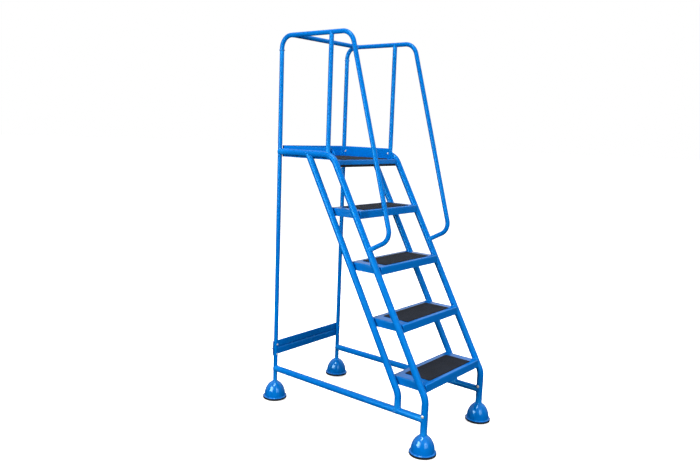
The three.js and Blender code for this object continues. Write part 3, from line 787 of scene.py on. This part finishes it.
bearer()
for side, sign in SIDES:
    low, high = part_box("platform_bearer")
    rim = [(low.y, low.z), (low.y, high.z), (high.y, high.z), (high.y, low.z)]
    seam(f"platform_bearer_weld_{side}", [(sign * INNER_HALF, y, z) for y, z in rim])


def toe_board():
    """One strip bent round three sides of the deck, its front corners rounded down."""
    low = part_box("toe_board")[0].z
    x, rear, r = INNER_HALF, TOE_REAR_Y, TOE_CORNER_R
    nose = [TOE_FRONT_Y + TOE_NOSE_R * (1 - math.cos(a)) for a in np.linspace(0, math.pi / 2, 15)]
    straight = nose + list(np.linspace(nose[-1], rear - r, 8)[1:])
    plan = [(-x, y) for y in straight]
    plan += [(-x + r * (1 - math.cos(a)), rear - r + r * math.sin(a))
             for a in np.linspace(0, math.pi / 2, 9)[1:]]
    plan += [(-px, py) for px, py in plan[::-1]]
    rows = 6
    points = []
    for px, py in plan:
        drop = max(0.0, TOE_FRONT_Y + TOE_NOSE_R - py)
        top = TOE_TOP_Z - TOE_NOSE_R + math.sqrt(max(0.0, TOE_NOSE_R ** 2 - drop ** 2))
        points += [(px, py, low + (top - low) * k / rows) for k in range(rows + 1)]
    at = lambda i, k: i * (rows + 1) + k
    faces = [(at(i, k), at(i + 1, k), at(i + 1, k + 1), at(i, k + 1))
             for i in range(len(plan) - 1) for k in range(rows)]
    made = piece("toe_board_strip", points, faces, "blue_paint", replaced=["toe_board"])
    thick = made.modifiers.new("sheet", "SOLIDIFY")
    thick.thickness = SHEET
    normals_out = made.data.polygons[0].normal.x < 0
    thick.offset = -1 if normals_out else 1
    return soften(made, 0.0005)


toe_board()


def brace():
    """The pressed strip across the rear legs, with a lip at each edge and a rib along its middle."""
    lo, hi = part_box("rear_brace")
    y, z, half = lo.y, (lo.z + hi.z) / 2, (hi.z - lo.z) / 2
    rib, lip = BRACE_RIB, BRACE_LIP
    centre = [(y + lip, z - half + SHEET / 2), (y + SHEET / 2, z - half + SHEET / 2),
              (y + SHEET / 2, z - rib), (y + SHEET / 2 + rib, z), (y + SHEET / 2, z + rib),
              (y + SHEET / 2, z + half - SHEET / 2), (y + lip, z + half - SHEET / 2)]
    centre = rounded(centre, BRACE_FOLD_R, 5)
    left, right = [], []
    for i, (a, b) in enumerate(centre):
        p, q = centre[max(i - 1, 0)], centre[min(i + 1, len(centre) - 1)]
        along = Vector((q[0] - p[0], q[1] - p[1])).normalized()
        off = Vector((-along.y, along.x)) * SHEET / 2
        left.append((a + off.x, b + off.y))
        right.append((a - off.x, b - off.y))
    made = prism("rear_brace_sheet", left + right[::-1], lo.x, hi.x, "blue_paint", 6, ["rear_brace"])
    return soften(made, 0.0004)


brace()


# ---- feet -----------------------------------------------------------------------------------

def dome_profile(inset):
    """The dome's skin from low on the wall to its flat top."""
    wall_z = DOME_BASE_Z + DOME_SKIN_LOW
    height, radius = DOME_TOP_Z - wall_z + DOME_CROWN - inset, DOME_WALL_R - inset
    out = []
    for a in np.linspace(0, math.acos(DOME_FLAT_R / radius), 34):
        r, z = radius * math.cos(a), wall_z + height * math.sin(a)
        if r > DOME_FLAT_R + 0.002:
            out.append((r, min(z, DOME_TOP_Z - inset)))
    return out


def foot(corner, x, y):
    """A dome with its turned-out rim, and the rubber ring that laps round the rim."""
    base, top, wall = DOME_BASE_Z, DOME_TOP_Z, DOME_WALL
    rim = rounded([(DOME_WALL_R - wall, base), (DOME_RIM_R, base), (DOME_RIM_R, base + DOME_RIM),
                   (DOME_WALL_R + DOME_ROOT, base + DOME_RIM + 0.0002),
                   (DOME_WALL_R, base + DOME_ROOT_TOP)], DOME_RIM_ROUND, 6)
    outer = rim[:-1] + dome_profile(0)
    boss = top - DOME_BOSS_DEPTH
    crown = [(DOME_FLAT_R + 0.0010, top - 0.0002), (DOME_BORE_R, top), (DOME_BORE_R, boss),
             (DOME_BOSS_R, boss), (DOME_BOSS_R, top - wall)]
    inner = dome_profile(wall)[::-1]
    revolved(f"foot_dome_{corner}_shell", outer + crown + inner, "dome_paint", (x, y, 0), 96,
             replaced=[f"foot_dome_{corner}"], sharp=50.0)
    lo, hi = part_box(f"foot_rubber_{corner}")
    low, high, inside, outside = lo.z, hi.z, RUBBER_INSIDE_R, RUBBER_OUTSIDE_R
    seat, groove = DOME_BASE_Z - GAP, RUBBER_GROOVE_Z
    ring = [(inside, low), (outside - RUBBER_ROUND, low), (outside, low + RUBBER_ROUND),
            (outside, low + groove - RUBBER_GROOVE), (outside - 0.0006, low + groove),
            (outside, low + groove + RUBBER_GROOVE),
            (outside, high), (DOME_RIM_R + GAP, high), (DOME_RIM_R + GAP, seat), (inside, seat)]
    revolved(f"foot_rubber_{corner}_ring", rounded(ring, 0.0006, 3, True), "black_rubber", (x, y, 0), 96,
             replaced=[f"foot_rubber_{corner}"], sharp=50.0)


for corner, sx, ey in CORNERS:
    foot(corner, sx * SIDE_X, ey * LEG_Y)


# ---- castors --------------------------------------------------------------------------------

def spring(corner, x, y):
    """A round-wire coil with closed end turns."""
    lo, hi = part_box(f"castor_spring_{corner}")
    wire, coil_r = SPRING_WIRE_R, SPRING_COIL_R
    low, high, around = lo.z + wire, hi.z - wire, 12
    points, steps = [], 200
    for k in range(steps + 1):
        t = k / steps
        ease = t - SPRING_CLOSED * math.sin(2 * math.pi * t)
        a = 2 * math.pi * SPRING_TURNS * t
        spot = Vector((x + coil_r * math.cos(a), y + coil_r * math.sin(a), low + (high - low) * ease))
        out, up = Vector((math.cos(a), math.sin(a), 0)), Vector((0, 0, 1))
        points += [spot + wire * (math.cos(b) * out + math.sin(b) * up)
                   for b in np.linspace(0, 2 * math.pi, around, endpoint=False)]
    made = piece(f"castor_spring_{corner}_coil", points, ring_faces(steps + 1, around, True), "spring_steel",
                 replaced=[f"castor_spring_{corner}"])
    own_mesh(made)


def castor(corner, x, y):
    """One castor: spring, turned stem, wheel, axle pin and the fork carried over from the frame."""
    spring(corner, x, y)
    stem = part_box(f"castor_stem_{corner}")
    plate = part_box(f"castor_fork_{corner}")[1].z
    low, high = stem[0].z, stem[1].z
    under, seat = plate - RIVET_GRIP, plate + GAP
    flange, collar = seat + STEM_FLANGE, high - STEM_COLLAR
    profile = [(0, low), (RIVET_HEAD_R, low), (RIVET_HEAD_R, under), (RIVET_R, under), (RIVET_R, seat),
               (STEM_FLANGE_R, seat), (STEM_FLANGE_R, flange), (STEM_R, flange), (STEM_R, collar),
               (STEM_COLLAR_R, collar), (STEM_COLLAR_R, high), (0, high)]
    revolved(f"castor_stem_{corner}_turned", rounded(profile, 0.0006, 3), "zinc", (x, y, 0), 48,
             body=f"stem_{corner}", replaced=[f"castor_stem_{corner}"])
    lo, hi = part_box(f"castor_wheel_{corner}")
    centre, half = (lo + hi) / 2, (hi.x - lo.x) / 2
    big, dish, crown = (hi.z - lo.z) / 2, half - WHEEL_DISH, TYRE_CROWN
    shoulder, edge = big - TYRE_SHOULDER[0], half - TYRE_SHOULDER[1]
    hub, rim_r = (WHEEL_HUB_R, WHEEL_HUB_R + 0.0005), (WHEEL_RIM_R - 0.0010, WHEEL_RIM_R)
    tyre = [(WHEEL_BORE_R, -half), (hub[0], -half), (hub[1], -dish), (rim_r[0], -dish), (rim_r[1], -half),
            (shoulder, -half), (big, -edge), (big, -crown), (big - crown, 0), (big, crown),
            (big, edge), (shoulder, half), (rim_r[1], half), (rim_r[0], dish),
            (hub[1], dish), (hub[0], half), (WHEEL_BORE_R, half)]
    revolved(f"castor_wheel_{corner}_tyre", rounded(tyre, 0.0006, 3, True), "wheel_nylon", centre, 64, "X",
             f"roller_{corner}", [f"castor_wheel_{corner}"])
    lo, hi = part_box(f"castor_axle_{corner}")
    centre, end = (lo + hi) / 2, (hi.x - lo.x) / 2
    neck = end - AXLE_HEAD
    pin = [(0, -end), (AXLE_HEAD_R, -end), (AXLE_HEAD_R, -neck), (AXLE_R, -neck), (AXLE_R, neck),
           (AXLE_HEAD_R, neck), (AXLE_HEAD_R, end), (0, end)]
    revolved(f"castor_axle_{corner}_pin", rounded(pin, 0.0005, 3), "zinc", centre, 32, "X",
             f"swivel_{corner}", [f"castor_axle_{corner}"])
    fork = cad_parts[f"castor_fork_{corner}"]
    fork.data.materials.clear()
    fork.data.materials.append(MATERIALS["zinc"])
    soften(fork, 0.0005)


for corner, sx, ey in CORNERS:
    castor(corner, sx * SIDE_X, ey * LEG_Y)


# ---- bolts ----------------------------------------------------------------------------------

def bolt(name, head, nut, replaced=(), with_nut=True, size=1.0):
    """A button-headed bolt and hexagon nut; head and nut are where they seat, and size 1 is M8."""
    head, nut = Vector(head), Vector(nut)
    length = (nut - head).length
    turn = (nut - head).to_track_quat("Z", "Y").to_matrix()
    dome = [(BUTTON_R * math.cos(a), -BUTTON_SKIRT - BUTTON_RISE * math.sin(a))
            for a in np.linspace(math.pi / 2, 0, 9)]
    skirt = [(BUTTON_SKIRT_R, -BUTTON_SKIRT_EDGE), (BUTTON_SKIRT_R, 0.0)]
    button = [(r * size, z * size) for r, z in [(0.0, -BUTTON_TOP)] + dome[1:] + skirt]
    tail = length + (BOLT_TAIL * size if with_nut else 0.0)
    shank = [(BOLT_R * size, 0.0), (BOLT_R * size, tail - BOLT_TIP), (BOLT_TIP_R * size, tail), (0.0, tail)]
    around, points = 32, []
    rings = button + shank
    for r, z in rings:
        points += [head + turn @ Vector((r * math.cos(a), r * math.sin(a), z))
                   for a in np.linspace(0, 2 * math.pi, around, endpoint=False)]
    piece(name, points, ring_faces(len(rings), around, True), "zinc", replaced=replaced)
    if not with_nut:
        return
    points = []
    for r, z in ((NUT_BORE_R, 0.0), (NUT_FACE_R, 0.0), (NUT_R, NUT_CHAMFER), (NUT_R, NUT_SHOULDER),
                 (NUT_FACE_R, NUT_H), (NUT_BORE_R, NUT_H)):
        points += [nut + turn @ (Vector((r * math.cos(a), r * math.sin(a), z)) * size)
                   for a in np.linspace(0, 2 * math.pi, 6, endpoint=False)]
    nut_piece = piece(f"{name}_nut", points, ring_faces(6, 6, loop=True), "zinc", sharp=20.0)
    soften(nut_piece, 0.0003)


for side, sign in SIDES:
    grip = STOUT_R + GAP
    lo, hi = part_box(f"leg_bolt_{side}")
    z = (lo.z + hi.z) / 2
    bolt(f"leg_bolt_{side}_set", (sign * (SIDE_X + grip), -LEG_Y, z), (sign * (SIDE_X - grip), -LEG_Y, z),
         [f"leg_bolt_{side}"])
    for level in ("lower", "upper"):
        lo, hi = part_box(f"brace_bolt_{level}_{side}")
        z = (lo.z + hi.z) / 2
        front, back = LEG_Y - SLIM_R - GAP, LEG_Y + SLIM_R + 2 * GAP + SHEET
        bolt(f"brace_bolt_{level}_{side}_set", (sign * SIDE_X, front, z), (sign * SIDE_X, back, z),
             [f"brace_bolt_{level}_{side}"], size=SMALL_BOLT)
    for place, y in TOE_BOLT_Y:
        inside, in_rail, z = INNER_HALF - SHEET, INNER_HALF + TOE_BOLT_DEPTH, TOE_BOLT_Z
        bolt(f"toe_bolt_{place}_{side}", (sign * inside, y, z), (sign * in_rail, y, z), with_nut=False,
             size=SMALL_BOLT)


# ---- floor, light and camera ----------------------------------------------------------------

NEAR_GLOW = 0.0
FAR_GLOW = 0.6
CEILING_GLOW = 0.6
GROUND_GLOW = 0.03
FLOOR_GLOW = 0.60
NEAR_DOME = (-0.25, -0.46, 0.06)
KEY_TINT = (1.0, 1.0, 0.93)
OVERHEAD_TINT = (1.0, 0.98, 0.88)
FLOOR_R = 60.0
CAMERA_PLACE = (-2.653, -1.943, 1.398)
CAMERA_TURNS = (0.8924, -0.1504, -0.0372)
CAMERA_LENS_MM = 34.756
CAMERA_SENSOR_MM = 36.0


def ramp_to(tree, value, low, high, start, end):
    node = tree.nodes.new("ShaderNodeMapRange")
    for key, number in (("From Min", start), ("From Max", end), ("To Min", low), ("To Max", high)):
        node.inputs[key].default_value = number
    tree.links.new(value, node.inputs["Value"])
    return node.outputs["Result"]


def calculate(tree, operation, a, b):
    node = tree.nodes.new("ShaderNodeMath")
    node.operation = operation
    for socket, item in zip(node.inputs, (a, b)):
        if isinstance(item, bpy.types.NodeSocket):
            tree.links.new(item, socket)
        else:
            socket.default_value = item
    return node.outputs[0]


def studio_light():
    """White behind the object; its light comes from above and from the studio's far side."""
    world = bpy.data.worlds.new("studio")
    bpy.context.scene.world = world
    world.use_nodes = True
    tree = world.node_tree
    where = tree.nodes.new("ShaderNodeTexCoord").outputs["Generated"]
    split = tree.nodes.new("ShaderNodeSeparateXYZ")
    tree.links.new(where, split.inputs["Vector"])
    across = calculate(tree, "MULTIPLY", split.outputs["X"], 0.78)
    deep = calculate(tree, "MULTIPLY", split.outputs["Y"], 0.63)
    far = ramp_to(tree, calculate(tree, "ADD", across, deep), NEAR_GLOW, FAR_GLOW, -0.25, 0.55)
    above = ramp_to(tree, split.outputs["Z"], 0.0, 1.0, -0.06, 0.04)
    wall = calculate(tree, "MULTIPLY", far, above)
    ceiling = ramp_to(tree, split.outputs["Z"], 0.0, CEILING_GLOW, 0.25, 0.95)
    glow = calculate(tree, "ADD", calculate(tree, "ADD", wall, ceiling), GROUND_GLOW)
    seen = tree.nodes.new("ShaderNodeLightPath").outputs["Is Camera Ray"]
    strength = calculate(tree, "MAXIMUM", glow, seen)
    tree.links.new(strength, tree.nodes["Background"].inputs["Strength"])
    tree.nodes["Background"].inputs["Color"].default_value = (1.0, 1.0, 1.0, 1)


def studio_floor():
    """A pale floor with a glow of its own, which takes shadows but throws no light back up."""
    ground = Nodes("studio_floor", (0.9, 0.9, 0.9), 0.95, specular=0.0)
    cloud = ground.noise(1.5, 3, 0.5)
    tone = ground.ramp(cloud, [(0.3, (0.88, 0.88, 0.88)), (0.7, (0.90, 0.90, 0.90))])
    ground.link(tone, ground.shader.inputs["Base Color"])
    ground.shader.inputs["Emission Color"].default_value = (1.0, 1.0, 1.0, 1)
    ground.shader.inputs["Emission Strength"].default_value = FLOOR_GLOW
    mesh = bpy.data.meshes.new("studio_floor")
    around, radius = 96, FLOOR_R
    edge = [(radius * math.cos(a), radius * math.sin(a), 0.0)
            for a in np.linspace(0, 2 * math.pi, around, endpoint=False)]
    mesh.from_pydata(edge, [], [tuple(range(around))])
    mesh.materials.append(ground.material)
    floor = bpy.data.objects.new("studio_floor", mesh)
    floor.visible_diffuse = False
    floor.visible_glossy = False
    bpy.context.scene.collection.objects.link(floor)


def softbox(name, place, target, size, power, tint=(1.0, 1.0, 1.0), glossy=True, diffuse=True):
    """A soft lamp aimed at target; it can act on gloss only or on colour only."""
    lamp = bpy.data.lights.new(name, "AREA")
    lamp.shape = "RECTANGLE"
    lamp.size, lamp.size_y = size
    lamp.energy = power
    lamp.color = tint
    made = bpy.data.objects.new(name, lamp)
    made.location = place
    made.rotation_mode = "QUATERNION"
    made.rotation_quaternion = (Vector(target) - Vector(place)).to_track_quat("-Z", "Y")
    made.visible_camera = False
    made.visible_glossy = glossy
    made.visible_diffuse = diffuse
    bpy.context.scene.collection.objects.link(made)


def camera():
    """Seen from the ladder's left and front, a little above the platform."""
    turn, tilt, roll = CAMERA_TURNS
    forward = Vector((math.sin(turn) * math.cos(tilt), math.cos(turn) * math.cos(tilt), math.sin(tilt)))
    right = Vector((math.cos(turn), -math.sin(turn), 0.0))
    up = right.cross(forward)
    c, s = math.cos(roll), math.sin(roll)
    across, above = c * right - s * up, s * right + c * up
    data = bpy.data.cameras.new("camera")
    data.sensor_width = CAMERA_SENSOR_MM
    data.lens = CAMERA_LENS_MM
    made = bpy.data.objects.new("camera", data)
    made.matrix_world = Matrix((
        (across.x, above.x, -forward.x, CAMERA_PLACE[0]),
        (across.y, above.y, -forward.y, CAMERA_PLACE[1]),
        (across.z, above.z, -forward.z, CAMERA_PLACE[2]),
        (0, 0, 0, 1),
    ))
    bpy.context.scene.collection.objects.link(made)
    bpy.context.scene.camera = made


studio_light()
studio_floor()
softbox("overhead", (0.1, 0.1, 4.6), (0, 0, 0.6), (3.0, 2.4), 112, OVERHEAD_TINT, glossy=False)
softbox("overhead_strip", (-1.4, -0.2, 4.4), (0, 0, 1.8), (1.0, 2.6), 145, diffuse=False)
softbox("key_left", (-4.8, 0.3, 2.2), (0, 0, 0.8), (1.8, 1.8), 278, KEY_TINT, glossy=False)
softbox("key_front", (-1.75, -4.95, 2.0), (0, 0, 0.8), (1.8, 1.8), 225, KEY_TINT, glossy=False)
softbox("fill_back", (2.9, 2.7, 2.3), (0, 0, 0.9), (2.6, 2.2), 62, glossy=False)
softbox("fill_right", (3.4, -1.6, 1.8), (0, 0, 0.9), (2.0, 2.0), 26, glossy=False)
softbox("front_strip", (-1.57, -2.95, 2.4), (-0.25, -0.2, 0.7), (0.35, 1.2), 9, diffuse=False)
softbox("window_left", (-2.60, 0.66, 1.35), NEAR_DOME, (1.3, 1.6), 92, diffuse=False)
softbox("window_middle", (-2.84, -0.28, 1.35), NEAR_DOME, (0.45, 1.6), 15, diffuse=False)
softbox("window_front", (-1.47, -2.75, 1.35), NEAR_DOME, (1.1, 1.6), 24, diffuse=False)
softbox("window_front_pane", (-0.45, -3.05, 1.35), NEAR_DOME, (0.5, 1.6), 9, diffuse=False)
camera()
bpy.context.scene.view_settings.view_transform = "Standard"
bpy.context.scene.view_settings.look = "None"
